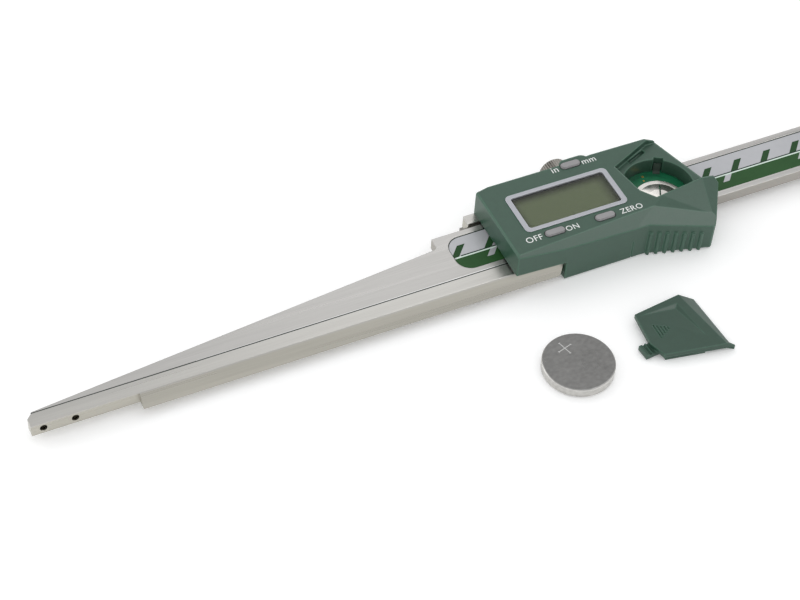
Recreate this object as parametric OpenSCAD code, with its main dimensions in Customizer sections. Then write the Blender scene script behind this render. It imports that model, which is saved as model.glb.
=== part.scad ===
// Digital taper gauge: a wedge-ended beam slides through a reading unit that
// carries a long parallel arm. Part frame: origin on the resting plane under
// the middle of the back plate, +X along the beam away from the tip, +Y to
// the lock screw side, +Z out of the display. Millimetres.

/* [Beam] */
// width of the steel beam
beam_w = 16; // [12:0.1:20]
// thickness of the steel beam
beam_t = 3.5; // [2.5:0.1:5]
// right end of the beam, from the middle of the back plate
beam_end = 137.5; // [120:0.5:160]
// sharp end of the wedge, from the middle of the back plate
blade_tip = -166; // [-175:0.5:-150]
// where the wedge meets the step to the full beam width
blade_root = -46.9; // [-60:0.1:-40]
// width of the wedge at its sharp end
blade_tip_w = 0.25; // [0.1:0.05:1]
// width gained per millimetre of wedge length
blade_taper = 0.098; // [0.05:0.001:0.2]
// length of the rounded step from wedge to full width
step_len = 1.8; // [1:0.1:4]
// radius of the fillet in the step
step_r = 1.5; // [0.8:0.1:1.8]

/* [Scale] */
// width of the scale strip set into the beam
scale_w = 12.4; // [8:0.1:14]
// thickness of the scale strip
scale_t = 0.5; // [0.3:0.05:0.8]
// how far the strip lies under the beam's face
scale_sink = 0.1; // [0.05:0.01:0.3]
// left end of the scale strip
scale_left = -42.3; // [-50:0.1:-38]
// right end of the scale strip
scale_right = 127; // [100:0.5:135]
// radius of the strip's left corners
scale_corner_r = 4.4; // [2:0.1:6]
// gap between the strip and its pocket
scale_gap = 0.05; // [0.02:0.01:0.2]

/* [Slider] */
// thickness of the back plate on the underside
back_plate_t = 1.2; // [0.8:0.1:2]
// length of the back plate
back_plate_len = 58; // [50:0.5:62]
// how far the back plate stays inside the frame's two sides
back_plate_inset = 0.5; // [0.1:0.1:2]
// thickness of the frame's web under the beam
web_t = 1.45; // [1:0.05:2.5]
// left end of the frame
frame_left = -33.2; // [-36:0.1:-30]
// right end of the frame
frame_right = 29.5; // [25:0.1:30]
// half of the frame's width
frame_half_w = 12.3; // [11.5:0.1:13]
// how far the rails stand above the beam's face
rail_rise = 0.4; // [0.3:0.05:1]
// running clearance under and beside the beam
slide_fit = 0.05; // [0.02:0.01:0.1]
// thickness of the gib strip beside the beam
gib_t = 0.95; // [0.6:0.05:1.5]
// left end of the gib strip
gib_left = -35.9; // [-38:0.1:-34.5]
// clearance of the gib strip in its groove
gib_fit = 0.03; // [0.01:0.01:0.08]

/* [Arm] */
// free end of the arm, from the middle of the back plate
arm_tip = -167.5; // [-176:0.5:-150]
// distance of the shoulder from the arm's free end
shoulder_len = 29.2; // [20:0.1:40]
// arm's width at the top, from the beam's edge outwards
arm_top_w = 4.1; // [3:0.1:6]
// how far the shoulder stands out at the bottom
shoulder_out = 2.9; // [1:0.1:4]
// gap between the arm and the beam's edge
arm_gap = 0.2; // [0.05:0.01:0.3]
// where the arm ends under the housing
arm_end = -14.5; // [-20:0.1:-8]
// diameter of the two holes at the arm's tip
tip_hole_d = 2; // [1:0.1:3]
// depth of the two tip holes
tip_hole_depth = 3.2; // [1:0.1:3.6]
// first tip hole, from the arm's free end
tip_hole_first = 3.3; // [2:0.1:6]
// distance between the tip holes
tip_hole_pitch = 8.5; // [5:0.1:12]

/* [Housing] */
// height of the housing's top face
top_z = 14.5; // [13:0.1:17]
// left end of the housing
body_left = -29.7; // [-32:0.1:-28.5]
// far side of the housing
body_far = 13.3; // [12.9:0.1:15]
// near side of the housing
body_near = -14.8; // [-17:0.1:-14.3]
// depth of the near bevel where the grip's facet starts
near_drop = 2.5; // [1.5:0.1:3.5]
// slope of the bevel at the right end
end_slope = 30; // [20:0.5:40]
// height of the housing's lower edge
skirt_z = 0.4; // [0.2:0.1:1]
// height of the cut-out over the arm
arm_cutout_z = 7; // [6.7:0.1:8]
// length of the small chamfer along the left top edge
left_bevel = 0.4; // [0.2:0.1:1]
// outer reach of the thumb grip
grip_reach = 5.1; // [2:0.1:6]
// x of the grip's outermost corner
grip_x = 29.6; // [27:0.1:31]
// tip of the right-hand tongue
tongue_x = 37.5; // [36:0.1:40]
// number of ribs on the thumb grip
rib_count = 7; // [3:1:9]
// distance between the grip's ribs
rib_pitch = 2.5; // [1.8:0.1:3]
// diameter of each rounded rib
rib_d = 1.1; // [0.6:0.1:1.6]
// height of the last rib's upper end
rib_top_z = 6.9; // [5:0.1:8]
// how much higher each rib ends than the one to its right
rib_top_step = 0.33; // [0:0.01:0.4]

/* [Battery bay] */
// depth of the recess for the cover
cover_recess = 2; // [1.6:0.1:2.6]
// middle of the cell's well along the beam
cell_x = 20.8; // [20:0.1:21.2]
// middle of the cell's well across the beam
cell_y = -2.6; // [-3:0.1:-2]
// diameter of the coin cell
cell_d = 20; // [16:0.1:20]
// thickness of the coin cell
cell_t = 3.2; // [2:0.1:3.4]
// clearance around the cell in its well
cell_fit = 0.2; // [0.1:0.05:0.3]
// width of the contact notch in the well's wall
notch_w = 2.8; // [2:0.1:5]
// gap around the battery cover in its recess
cover_fit = 0.12; // [0.05:0.01:0.3]
// how far the cover's end hooks over the housing's right edge
cover_overhang = 1.2; // [0.6:0.1:2]
// thickness of the battery cover's plate
cover_plate_t = 1.4; // [1:0.1:1.6]
// how far the cover's rails reach below the recess
cover_rail = 1; // [0.6:0.1:1.4]

/* [Display] */
// length of the display bezel
bezel_len = 32; // [26:0.1:33]
// width of the display bezel
bezel_w = 14.6; // [12:0.1:15]
// width of the bezel's two short sides
bezel_end_w = 1.45; // [0.8:0.05:3]
// width of the bezel's two long sides
bezel_side_w = 1.2; // [0.8:0.05:2]
// middle of the display along the beam
display_x = -7.5; // [-8:0.1:-7]
// middle of the display across the beam
display_y = 0.5; // [0:0.1:0.8]
// how far the bezel stands above the top face
bezel_rise = 0.2; // [0.1:0.05:0.5]
// thickness of the bezel ring
bezel_t = 1.2; // [0.8:0.1:1.4]

/* [Buttons] */
// length of a button
button_len = 6; // [4:0.1:7]
// width of a button
button_w = 2.2; // [1.6:0.1:2.6]
// how far a button stands above the top face
button_rise = 0.5; // [0.3:0.05:1]
// gap around a button in its opening
button_gap = 0.12; // [0.05:0.01:0.25]
// travel of a button when it is pressed
button_travel = 0.5; // [0.3:0.05:0.6]

/* [Lock screw] */
// diameter of the knurled knob
knob_d = 8.4; // [6:0.1:8.8]
// length of the knurled knob
knob_len = 4.6; // [3:0.1:7]
// distance of the knob from the frame's far side
knob_stand = 4.7; // [3.5:0.1:6]
// diameter of the screw's shank
lock_shank_d = 2.5; // [2:0.1:3]
// number of grooves around the knob
knurl_count = 36; // [18:1:48]

/* [Loose pieces] */
// where the coin cell lies along the beam
loose_cell_x = -26.3; // [-40:0.1:-10]
// where the coin cell lies across the beam
loose_cell_y = -44.8; // [-60:0.1:-36]
// where the battery cover lies along the beam
loose_cover_x = 5.6; // [0:0.1:20]
// where the battery cover lies across the beam
loose_cover_y = -44.7; // [-60:0.1:-38]
// how far the loose cover is turned on the surface
loose_cover_turn = -17; // [-30:0.5:30]

/* [Hidden] */
$fn = 64;
eps = 0.01;
beam_z = back_plate_t + web_t + slide_fit;
beam_top = beam_z + beam_t;
half_w = beam_w / 2;
rail_z = beam_top + rail_rise;
arm_in = -half_w - arm_gap;
arm_out = arm_in - arm_top_w;
shoulder_x = arm_tip + shoulder_len;
gib_in = half_w + gib_fit;
gib_out = gib_in + gib_t;
pcb_t = 1;
pcb_z = rail_z + pcb_t;
pcb_half_w = 11.5;
recess_z = top_z - cover_recess;
well_d = cell_d + 2 * cell_fit;
well_z = pcb_z + 0.1;
right_far = [28.5, body_far + 0.4];
right_near = [34.2, -4.8];
tongue_far = [tongue_x - 0.7, -5.5];
tongue = [tongue_x, -7.8];
grip_corner = [grip_x, body_near - grip_reach];
flare_x = 10.9;
crease_left = [-26.5, -13.1, top_z];
crease_right = [14.2, -10.8, top_z];
bevel_foot = [7.5, body_near + 0.3, top_z - near_drop];
bay_corner = [18.4, -8.1, top_z];
facet_corner = [30.3, -17.1, top_z - 3.6];
facet_foot = [29.2, grip_corner[1] + 0.2, top_z - 5.5];
tongue_top = [32.4, -6.7, top_z - 0.1];
end_crease = [25.2, body_far - 0.3, top_z];
end_heading = 26.6;
board_left = -27.5;
board_right = 31;
board_gap = 0.1;
screw_at = [[-26, 10.6], [-26, -10.6], [9.4, 10.6], [9.4, -10.6]];
screw_d = 1.6;
screw_head_d = 3;
screw_head_t = 1;
screw_top_z = 11.4;
plate_screw_at = [for (x = [-25, 25]) for (y = [-4.5, 4.5]) [x, y]];
plate_screw_d = 1.6;
plate_head_d = 3;
end_stop_x = beam_end - 3.5;
end_stop_len = 5;
end_stop_t = 1.2;
end_screw_d = 2;
end_screw_at = [[end_stop_x, 4], [end_stop_x, -4]];
gib_screw_at = [-20, 20];
gib_sink = 0.7;
gib_screw_d = 2;
axis_z = beam_z + beam_t / 2;
lock_x = 0;
button_at = [[0.1, 12.5], [-16.1, -9.2], [-0.4, -9.2]];
dome_at = [[0.1, 10.3], [-16.1, -9.2], [-0.4, -9.2]];
slot_w = 0.5;
contact_t = 0.25;
contact_at = [cell_x + 0.3, cell_y - 1.6];
contact_r = 0.375 * cell_d;
button_top = top_z + button_rise;
flange_z = top_z - 2.6;
flange_t = 0.9;
dome_z = 9.8;
stem_z = dome_z + button_travel + 0.1;
lcd_z = top_z - bezel_t + bezel_rise - 0.9;
lcd_t = 0.9;
window_t = 0.7;
window_len = bezel_len - 2 * bezel_end_w;
window_w = bezel_w - 2 * bezel_side_w;
cover_top_gap = 0.1;
cover_open_x = 37.2;
cover_corners = [
    [11.5, 6.9],
    [13.6, -4],
    [16.7, -8.1],
    [cover_open_x, -5.6],
    [cover_open_x, end_crease[1]],
    [end_crease[0], end_crease[1]]
];
cover_mid = [23.5, 1.2];
far_rail_at = [20.3, 9.8];
far_rail_turn = 22.3;
near_rail_at = [23, -6.3];
near_rail_turn = 7;
rail_len = 6.6;
tab_at = [13.2, -4.6];
tab_turn = 22;
tab_w = 4;
tab_t = 1.5;
near_rail_len = 11.5;
cover_face_z = top_z - cover_top_gap;
panel_left = [12.9, 6.2, cover_face_z];
panel_far = [24.2, 9.9, cover_face_z];
panel_near = [29.5, -2.2, cover_face_z];
panel_deep = [23.5, 8.3, cover_face_z - 0.5];

// Square block between two corners given as [x, y, z].
module box(low, high) {
    translate(low)
        cube(high - low);
}

// Everything above a plane that falls away from a point towards a heading.
module above_plane(at, heading, slope, start = -60) {
    translate(at)
        rotate([0, 0, heading])
            rotate([0, slope, 0])
                translate([-60, start, 0])
                    cube([120, 60 - start, 30]);
}

// Everything above the plane through three corners listed anticlockwise.
module above_facet(a, b, c) {
    n = cross(b - a, c - a);
    above_plane(a, atan2(n[1], n[0]), acos(n[2] / norm(n)));
}

// Straight screwdriver slot across a screw head whose face is at z = 0.
module driver_slot(head_d, depth) {
    cube([head_d + 1, slot_w, 2 * depth], center = true);
}

// Flat bar with half-round ends, its length along X.
module slot_shape(len, w) {
    for (side = [-1, 1])
        translate([side * (len - w) / 2, 0])
            circle(d = w);
    square([len - w, w], center = true);
}

// Rectangle with rounded corners.
module round_rect(len, w, r) {
    square([len - 2 * r, w], center = true);
    square([len, w - 2 * r], center = true);
    for (x = [-1, 1], y = [-1, 1])
        translate([x * (len / 2 - r), y * (w / 2 - r)])
            circle(r = r);
}

// Bar with one pair of rounded corners at its left end.
module strip_shape(left, right, w, r) {
    translate([left + r, -w / 2])
        square([right - left - r, w]);
    translate([left, -w / 2 + r])
        square([r + eps, w - 2 * r]);
    for (y = [-1, 1])
        translate([left + r, y * (w / 2 - r)])
            circle(r = r);
}

// Outline of the beam with its wedge and the fillet in its step.
module beam_shape() {
    root_y = -half_w + blade_tip_w + blade_taper * (blade_root + step_len - step_r - blade_tip);
    difference() {
        polygon([
            [blade_tip, -half_w],
            [beam_end, -half_w],
            [beam_end, half_w],
            [blade_root + step_len, half_w],
            [blade_root + step_len, root_y + step_r],
            [blade_root + step_len - step_r, root_y + step_r],
            [blade_root + step_len - step_r, root_y],
            [blade_tip, -half_w + blade_tip_w]
        ]);
        translate([blade_root + step_len - step_r, root_y + step_r])
            circle(r = step_r);
        for (y = [-1, 1])
            translate([beam_end, y * half_w])
                rotate(45)
                    square(1.4, center = true);
    }
}

module beam() color("silver") {
    difference() {
        translate([0, 0, beam_z])
            linear_extrude(beam_t)
                beam_shape();
        translate([0, 0, beam_top - scale_t - scale_sink])
            linear_extrude(scale_t + scale_sink + 1)
                strip_shape(
                    scale_left - scale_gap,
                    scale_right + scale_gap,
                    scale_w + 2 * scale_gap,
                    scale_corner_r
                );
        for (p = end_screw_at)
            translate([p[0], p[1], beam_z - 1])
                cylinder(d = end_screw_d, h = beam_t + 2);
    }
}

module scale_strip() color("darkgreen") {
    translate([0, 0, beam_top - scale_t - scale_sink])
        linear_extrude(scale_t)
            strip_shape(scale_left, scale_right, scale_w, scale_corner_r);
}

module end_stop() color("silver") {
    difference() {
        translate([end_stop_x, 0, beam_top])
            linear_extrude(end_stop_t)
                round_rect(end_stop_len, beam_w - 1, 1);
        for (p = end_screw_at) {
            translate([p[0], p[1], beam_top - 1])
                cylinder(d = end_screw_d, h = 4);
            translate([p[0], p[1], beam_top + end_stop_t - 0.6])
                cylinder(d = 3.4, h = 2);
        }
    }
}

module end_stop_screws() color("dimgray") {
    for (p = end_screw_at)
        translate([p[0], p[1], 0])
            difference() {
                union() {
                    translate([0, 0, beam_z + 0.3])
                        cylinder(d = end_screw_d, h = beam_top + end_stop_t - beam_z - 0.7);
                    translate([0, 0, beam_top + end_stop_t - 0.6])
                        cylinder(d = 3.3, h = 0.5);
                }
                translate([0, 0, beam_top + end_stop_t - 0.1])
                    driver_slot(3.3, 0.3);
            }
}

// Arm's cross-section along the beam: top width, outward bevel, flat bottom.
module arm_section(out) {
    polygon([
        [arm_in, beam_z],
        [arm_in, beam_top],
        [arm_out, beam_top],
        [arm_out - out, beam_z]
    ]);
}

module along_beam(left, right) {
    translate([left, 0, 0])
        rotate([90, 0, 90])
            linear_extrude(right - left)
                children();
}

module slider_frame() color("gainsboro") {
    difference() {
        union() {
            along_beam(arm_tip, shoulder_x + 1)
                arm_section(0.25);
            along_beam(shoulder_x, arm_end)
                arm_section(shoulder_out);
            box([frame_left, -frame_half_w, back_plate_t], [frame_right, frame_half_w, beam_z - slide_fit]);
            box([frame_left + 4, -frame_half_w, back_plate_t], [frame_right, arm_in, rail_z]);
            box([frame_left, gib_out + gib_fit, back_plate_t], [frame_right, frame_half_w, rail_z]);
        }
        translate([arm_tip, arm_in, 0])
            rotate(45)
                cube([2, 2, 20], center = true);
        translate([arm_end, arm_out - shoulder_out, beam_z - 1])
            rotate([0, 0, 45])
                cube([2.6, 2.6, 20], center = true);
        for (i = [0, 1])
            translate([arm_tip + tip_hole_first + i * tip_hole_pitch, arm_out - 1, axis_z])
                rotate([-90, 0, 0])
                    cylinder(d = tip_hole_d, h = 1 + tip_hole_depth);
        for (p = screw_at) {
            translate([p[0], p[1], 0])
                cylinder(d = screw_d, h = 20);
            translate([p[0], p[1], 0])
                cylinder(d = screw_head_d, h = back_plate_t + screw_head_t);
        }
        for (p = plate_screw_at)
            translate([p[0], p[1], 0])
                cylinder(d = plate_screw_d, h = 10);
        for (x = gib_screw_at)
            translate([x, 0, axis_z])
                rotate([-90, 0, 0])
                    cylinder(d = gib_screw_d, h = 20);
        translate([lock_x, 0, axis_z])
            rotate([-90, 0, 0])
                cylinder(d = lock_shank_d + 0.06, h = 20);
    }
}

module back_plate() color("silver") {
    difference() {
        linear_extrude(back_plate_t)
            round_rect(back_plate_len, 2 * (frame_half_w - back_plate_inset), 1.5);
        for (p = plate_screw_at)
            translate([p[0], p[1], -1]) {
                cylinder(d = plate_screw_d, h = 4);
                cylinder(d = plate_head_d, h = 1.65);
            }
    }
}

module back_plate_screws() color("dimgray") {
    for (p = plate_screw_at)
        translate([p[0], p[1], 0])
            difference() {
                union() {
                    translate([0, 0, 0.1])
                        cylinder(d = plate_head_d - 0.05, h = 0.55);
                    translate([0, 0, 0.3])
                        cylinder(d = plate_screw_d, h = beam_z - 0.6);
                }
                translate([0, 0, 0.1])
                    driver_slot(plate_head_d, 0.3);
            }
}

module gib_strip() color("darkgoldenrod") {
    difference() {
        union() {
            box([gib_left, gib_in, beam_z + 0.05], [frame_right - 1, gib_out, beam_top - gib_sink]);
            box([gib_left, gib_in, beam_z + 0.05], [gib_left + 1, gib_out, beam_top]);
        }
        for (x = gib_screw_at)
            translate([x, gib_out + 0.3, axis_z])
                rotate([90, 0, 0])
                    cylinder(d = gib_screw_d + 0.1, h = 0.6);
    }
}

module gib_screws() color("dimgray") {
    for (x = gib_screw_at)
        translate([x, gib_out - 0.3, axis_z])
            rotate([-90, 0, 0])
                difference() {
                    cylinder(d = gib_screw_d, h = frame_half_w - gib_out);
                    translate([0, 0, frame_half_w - gib_out + 0.3])
                        driver_slot(gib_screw_d, 0.7);
                }
}

module lock_screw() color("gray") {
    knob_y = frame_half_w + knob_stand;
    translate([lock_x, 0, axis_z])
        rotate([-90, 0, 0]) {
            translate([0, 0, gib_out + 0.05])
                cylinder(d = lock_shank_d, h = knob_y - gib_out);
            difference() {
                translate([0, 0, knob_y])
                    rotate_extrude()
                        polygon([
                            [0, 0],
                            [knob_d / 2 - 1.4, 0],
                            [knob_d / 2 - 1.2, 0.6],
                            [knob_d / 2 - 0.4, 0.6],
                            [knob_d / 2, 1],
                            [knob_d / 2, knob_len - 0.4],
                            [knob_d / 2 - 0.4, knob_len],
                            [0, knob_len]
                        ]);
                for (i = [0 : knurl_count - 1])
                    rotate([0, 0, i * 360 / knurl_count])
                        translate([knob_d / 2, 0, knob_y + knob_len / 2])
                            rotate([0, 0, 45])
                                cube([0.36, 0.36, knob_len + 1], center = true);
            }
        }
}

// Outline of the housing seen from above, grip and tongue included.
module body_shape() {
    polygon([
        [body_left, body_near + 0.7],
        [body_left + 14.5, body_near],
        [flare_x, body_near],
        grip_corner,
        grip_corner + [0.7, 0.4],
        tongue,
        tongue_far,
        right_near,
        right_far,
        [button_at[0][0] + 7, body_far + 0.6],
        [button_at[0][0] + 1, body_far],
        [body_left + 4, body_far],
        [body_left, body_far - 0.8]
    ]);
    translate([button_at[0][0] + 1.4, body_far - 0.8])
        slot_shape(9.4, 4.8);
}

// The cover's latch tab, or its pocket in the housing when grown by a gap.
module cover_tab(gap) {
    translate([tab_at[0], tab_at[1], recess_z - 0.7 - gap])
        rotate([0, 0, tab_turn])
            translate([-1.9 - gap, -tab_w / 2 - gap, 0])
                cube([5, tab_w + 2 * gap, tab_t + 2 * gap]);
}

// The cover's two rails, or their slots in the recess when grown by a gap.
module cover_rails(gap) {
    translate([far_rail_at[0], far_rail_at[1], recess_z])
        rotate([0, 0, far_rail_turn])
            cube([rail_len + 2 * gap, 1 + 2 * gap, 2 * (cover_rail + gap)], center = true);
    translate([near_rail_at[0], near_rail_at[1], recess_z])
        rotate([0, 0, near_rail_turn])
            cube([near_rail_len + 2 * gap, 1 + 2 * gap, 2 * (cover_rail + gap)], center = true);
}

// Narrow step along the right edge of the recess.
module end_ledge() {
    along = atan2(right_near[1] - right_far[1], right_near[0] - right_far[0]);
    translate([right_far[0], right_far[1], recess_z - 0.5])
        rotate([0, 0, along])
            translate([-1, -0.55, 0])
                cube([norm(right_near - right_far) + 1, 3, 3]);
}

module grip_ribs() {
    heading = atan2(-grip_reach, grip_x - flare_x);
    for (i = [0 : rib_count - 1])
        translate([grip_corner[0], grip_corner[1], skirt_z - 0.2])
            rotate([0, 0, heading])
                translate([-3.4 - i * rib_pitch, -0.1, 0])
                    cylinder(d = rib_d, h = rib_top_z + i * rib_top_step - skirt_z);
}

module housing() color([0.25, 0.36, 0.3]) {
    difference() {
        union() {
            difference() {
                translate([0, 0, skirt_z])
                    linear_extrude(top_z - skirt_z)
                        body_shape();
                intersection() {
                    above_facet(crease_left, bevel_foot, crease_right);
                    above_facet(crease_right, bevel_foot, facet_foot);
                }
                intersection() {
                    above_facet(bay_corner, facet_corner, tongue_top);
                    above_facet(crease_right, facet_corner, bay_corner);
                }
                above_facet(facet_corner, [tongue[0], tongue[1], top_z - 2.5], tongue_top);
                above_plane(end_crease, end_heading, end_slope);
                above_plane([body_left, 0, top_z - left_bevel], 180, 45);
            }
            grip_ribs();
        }
        box([-50, -frame_half_w - 0.15, -1], [60, 30, rail_z]);
        box([-50, -30, -1], [arm_end, 0, arm_cutout_z]);
        box(
            [board_left - board_gap, -pcb_half_w - board_gap, rail_z - 1],
            [board_right + board_gap, pcb_half_w + board_gap, pcb_z + board_gap]
        );
        translate([flare_x - 4.2, body_near, skirt_z - 1])
            cube([0.25, 0.6, 15], center = true);
        translate([cell_x, cell_y, well_z - 0.5])
            cylinder(d = well_d, h = recess_z - well_z - 0.1);
        intersection() {
            translate([cell_x, cell_y, well_z])
                cylinder(d = well_d, h = recess_z - well_z + 1);
            translate([0, 0, well_z])
                linear_extrude(10)
                    polygon(cover_corners);
        }
        rotate_notch()
            box([0, -notch_w / 2, well_z - 0.5], [well_d / 2 + 0.9, notch_w / 2, recess_z + 1]);
        translate([0, 0, recess_z])
            linear_extrude(5)
                polygon(cover_corners);
        cover_rails(cover_fit);
        cover_tab(cover_fit);
        end_ledge();
        translate([display_x, display_y, top_z - bezel_t + bezel_rise])
            linear_extrude(5)
                round_rect(bezel_len + 0.1, bezel_w + 0.1, 1.6);
        translate([display_x, display_y, pcb_z])
            linear_extrude(20)
                round_rect(window_len + 0.6, window_w + 0.6, 0.8);
        for (i = [0 : 2]) {
            translate([button_at[i][0], button_at[i][1], pcb_z])
                linear_extrude(20)
                    slot_shape(button_len + 2 * button_gap, button_w + 2 * button_gap);
            translate([dome_at[i][0], dome_at[i][1], pcb_z - 0.5])
                linear_extrude(flange_z + flange_t - pcb_z + 0.6)
                    square([button_len + 1.6, 3], center = true);
        }
        for (p = screw_at)
            translate([p[0], p[1], 0])
                cylinder(d = screw_d, h = screw_top_z + 0.3);
    }
}

// Turns the contact notch to its place on the well's far right side.
module rotate_notch() {
    translate([cell_x, cell_y, 0])
        rotate([0, 0, 61])
            children();
}

module housing_screws() color("dimgray") {
    for (p = screw_at)
        translate([p[0], p[1], 0])
            difference() {
                union() {
                    translate([0, 0, back_plate_t + 0.05])
                        cylinder(d = screw_head_d - 0.06, h = screw_head_t - 0.05);
                    translate([0, 0, back_plate_t + 0.5])
                        cylinder(d = screw_d, h = screw_top_z - back_plate_t - 0.5);
                }
                translate([0, 0, back_plate_t + 0.05])
                    driver_slot(screw_head_d, 0.4);
            }
}

module display_bezel() color("lightgray") {
    translate([display_x, display_y, top_z - bezel_t + bezel_rise])
        linear_extrude(bezel_t)
            difference() {
                round_rect(bezel_len, bezel_w, 1.5);
                round_rect(window_len, window_w, 0.8);
            }
}

module display_window() color([0.8, 0.85, 0.85]) {
    translate([display_x, display_y, lcd_z + lcd_t])
        linear_extrude(window_t)
            round_rect(window_len - 0.06, window_w - 0.06, 0.8);
}

module lcd_panel() color([0.42, 0.45, 0.36]) {
    translate([display_x, display_y, lcd_z])
        linear_extrude(lcd_t)
            square([window_len + 0.3, window_w + 0.3], center = true);
}

module zebra_strips() color("dimgray") {
    for (side = [-1, 1])
        translate([display_x, display_y + side * (window_w / 2 - 0.9), pcb_z])
            linear_extrude(lcd_z - pcb_z)
                square([window_len - 3, 1.5], center = true);
}

module circuit_board() color([0.08, 0.38, 0.25]) {
    difference() {
        translate([0, 0, rail_z])
            linear_extrude(pcb_t)
                polygon([
                    [board_left, -pcb_half_w],
                    [board_right, -pcb_half_w],
                    [board_right, 1],
                    [right_far[0] - 0.6, pcb_half_w],
                    [board_left, pcb_half_w]
                ]);
        for (p = screw_at)
            translate([p[0], p[1], 0])
                cylinder(d = screw_d + 0.1, h = 20);
    }
}

module chip_cover() color("black") {
    translate([display_x, display_y, pcb_z])
        rotate_extrude()
            polygon([[0, 0], [3.2, 0], [3, 0.5], [2, 1], [0, 1.2]]);
}

module key_domes() color("gray") {
    for (p = dome_at)
        translate([p[0], p[1], pcb_z]) {
            linear_extrude(0.5)
                square([4.4, 2.4], center = true);
            cylinder(d1 = 2.2, d2 = 1.6, h = dome_z - pcb_z);
        }
}

// One push button: bar, hidden flange and the stem over its dome.
module push_button(i) {
    at = button_at[i];
    foot = dome_at[i];
    color([0.55, 0.53, 0.54]) {
        translate([at[0], at[1], flange_z + eps])
            linear_extrude(button_top - flange_z - 0.3)
                slot_shape(button_len, button_w);
        translate([at[0], at[1], button_top - 0.3])
            linear_extrude(0.3)
                slot_shape(button_len - 0.4, button_w - 0.4);
        translate([foot[0], foot[1], flange_z])
            linear_extrude(flange_t)
                square([button_len + 1.2, 2.6], center = true);
        translate([foot[0], foot[1], stem_z])
            cylinder(d = 1.6, h = flange_z - stem_z + eps);
    }
}

module unit_button()
    push_button(0);

module power_button()
    push_button(1);

module zero_button()
    push_button(2);

// Stamped spring: flat outer ring and a shallow dome cut into tongues.
module negative_contact() color("gainsboro") {
    rim = contact_r - 1.3;
    translate([contact_at[0], contact_at[1], pcb_z])
        difference() {
            rotate_extrude()
                polygon([
                    [contact_r, 0],
                    [contact_r, 0.45],
                    [rim + 0.3, 0.45],
                    [rim, 0.2 + contact_t],
                    [rim * 0.55, 0.75 + contact_t],
                    [0, 0.9 + contact_t],
                    [0, 0.9],
                    [rim * 0.55, 0.75],
                    [rim, 0.2],
                    [rim, 0]
                ]);
            for (turn = [62, 152, 212, 302])
                rotate([0, 0, turn])
                    translate([rim * 0.55, 0, 0])
                        cube([rim * 0.75, 0.4, 4], center = true);
        }
}

module positive_contact() color("gainsboro") {
    rotate_notch() {
        box([well_d / 2 + 0.3, -1, pcb_z], [well_d / 2 + 0.6, 1, recess_z - 2]);
        box([well_d / 2 - 0.9, -1, pcb_z], [well_d / 2 + 0.6, 1, pcb_z + 0.3]);
    }
}

module cell_can() color("silver") {
    translate([loose_cell_x, loose_cell_y, 0])
        rotate_extrude()
            polygon([
                [0, cell_t],
                [cell_d / 2 - 0.3, cell_t],
                [cell_d / 2, cell_t - 0.3],
                [cell_d / 2, 0.5],
                [cell_d / 2 - 0.5, 0.15],
                [cell_d / 2 - 0.7, 0.15],
                [cell_d / 2 - 0.7, cell_t - 0.3],
                [0, cell_t - 0.3]
            ]);
}

module cell_gasket() color("dimgray") {
    translate([loose_cell_x, loose_cell_y, 0])
        rotate_extrude()
            polygon([
                [cell_d / 2 - 1.1, 0.1],
                [cell_d / 2 - 0.7, 0.1],
                [cell_d / 2 - 0.7, cell_t - 0.3],
                [cell_d / 2 - 1.1, cell_t - 0.3]
            ]);
}

module cell_cap() color("silver") {
    translate([loose_cell_x, loose_cell_y, 0])
        cylinder(d = cell_d - 2.2, h = cell_t - 0.3);
}

// Stripes that shrink to the right and form an arrow.
module arrow_grooves() {
    translate([16.5, 0.3, cover_face_z])
        rotate([0, 0, 17])
            for (i = [0 : 4])
                translate([i * 0.86, 0, 0])
                    cube([0.42, 4.9 * (1 - i / 5), 0.6], center = true);
}

// The cover's outline: the recess's, less the gap, and a hook at its end.
module cover_outline() {
    intersection() {
        offset(delta = -cover_fit)
            polygon(cover_corners);
        translate([cover_overhang, 0])
            body_shape();
    }
}

// Two steps across the latch tab, so that its end forms a hook.
module tab_grooves() {
    translate([tab_at[0], tab_at[1], recess_z - 0.7 + tab_t])
        rotate([0, 0, tab_turn])
            for (x = [-0.55, 0.6])
                translate([x, 0, 0])
                    cube([0.75, tab_w + 1, 1], center = true);
}

module battery_cover() color([0.27, 0.4, 0.33]) {
    translate([loose_cover_x, loose_cover_y, cover_rail - recess_z])
        rotate([0, 0, loose_cover_turn])
            translate([-cover_mid[0], -cover_mid[1], 0])
                difference() {
                    union() {
                        translate([0, 0, cover_face_z - cover_plate_t])
                            linear_extrude(cover_plate_t)
                                cover_outline();
                        translate([0, 0, recess_z])
                            linear_extrude(cover_face_z - recess_z)
                                intersection() {
                                    cover_outline();
                                    translate([end_crease[0], -20])
                                        square(40);
                                }
                        translate([0, 0, recess_z - cover_rail])
                            linear_extrude(cover_face_z - recess_z + cover_rail)
                                difference() {
                                    cover_outline();
                                    translate([cover_fit, 0])
                                        body_shape();
                                }
                        cover_rails(0);
                        cover_tab(0);
                    }
                    above_plane(end_crease - [0, 0, cover_top_gap], end_heading, end_slope);
                    intersection() {
                        above_facet(panel_left, panel_near, panel_deep);
                        above_facet(panel_left, panel_deep, panel_far);
                        above_facet(panel_far, panel_deep, panel_near);
                    }
                    arrow_grooves();
                    tab_grooves();
                }
}

beam();
scale_strip();
end_stop();
end_stop_screws();
slider_frame();
back_plate();
back_plate_screws();
gib_strip();
gib_screws();
lock_screw();
housing();
housing_screws();
display_bezel();
display_window();
lcd_panel();
zebra_strips();
circuit_board();
chip_cover();
key_domes();
unit_button();
power_button();
zero_button();
negative_contact();
positive_contact();
cell_can();
cell_gasket();
cell_cap();
battery_cover();
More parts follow.
